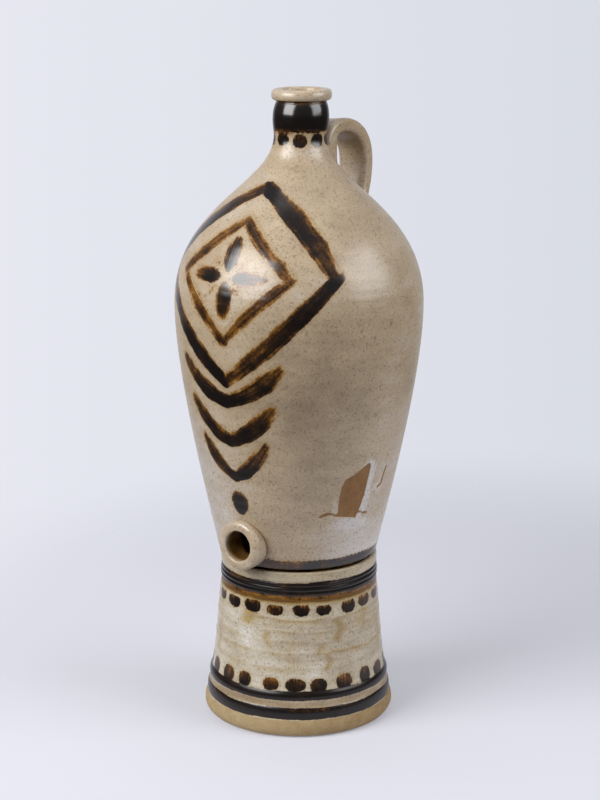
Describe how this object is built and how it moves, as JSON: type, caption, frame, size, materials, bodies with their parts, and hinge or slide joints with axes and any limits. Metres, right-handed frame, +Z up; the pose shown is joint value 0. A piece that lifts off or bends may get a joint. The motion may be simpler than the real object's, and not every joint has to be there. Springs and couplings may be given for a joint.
{
  "type": "cider jar on a stand",
  "caption": "Tall shouldered stoneware jar with a strap handle, a rolled lip and a boss for a tap, standing loose in the rim of its own flared drum stand.",
  "frame": {"origin": "on the floor, at the centre of the stand's foot", "axes": "+Z up along the axis of the stand and the jar, -Y the way the tap boss faces, +Y the side of the handle, +X to the right of the tap"},
  "size_m": [0.234, 0.234, 0.5983],
  "materials": {
    "jar_glaze": "pale oatmeal stoneware glaze, gloss",
    "stand_glaze": "pale oatmeal stoneware glaze, gloss, with a bare clay foot",
    "collar_glaze": "iron-black glaze, high gloss"
  },
  "bodies": {
    "stand": {"stand_drum": "stand_glaze"},
    "jar": {"body_lower": "jar_glaze", "body_upper": "jar_glaze", "neck_collar": "collar_glaze", "lip_ring": "jar_glaze", "tap_boss": "jar_glaze", "strap_handle": "jar_glaze"}
  },
  "joints": [
    {"name": "jar_lift", "type": "slide", "parent": "stand", "child": "jar", "axis": [0, 0, 1], "range_m": [0, 0.06]}
  ]
}
